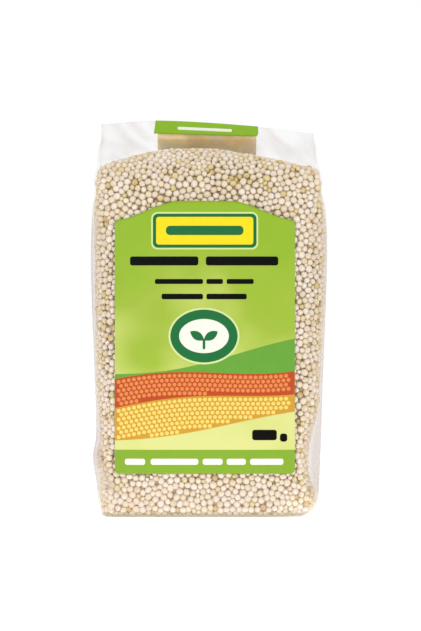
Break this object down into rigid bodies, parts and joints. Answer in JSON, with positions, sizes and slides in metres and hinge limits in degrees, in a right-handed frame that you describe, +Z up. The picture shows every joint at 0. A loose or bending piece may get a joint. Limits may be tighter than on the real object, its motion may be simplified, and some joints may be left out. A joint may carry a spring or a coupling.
{
  "type": "bag of quinoa",
  "caption": "Upright clear film bag filled with white quinoa grain, with a flat base, side pleats, a folded top fin, an arched front label and a closing label over the top.",
  "frame": {"origin": "centre of the bag's flat base, on the surface that it stands on", "axes": "+Z up; -Y is the front with the arched label; +X is to the right seen from the front"},
  "size_m": [0.0824, 0.0424, 0.1387],
  "materials": {
    "grain_in_film": "pale cream grain seen through thin clear film",
    "front_label_film": "satin printed label",
    "closing_label_film": "satin printed label",
    "clear_film": "thin clear polypropylene film, glossy with creases"
  },
  "bodies": {
    "root": {"bag": "grain_in_film", "front_label": "front_label_film", "closing_label": "closing_label_film"}
  },
  "joints": []
}
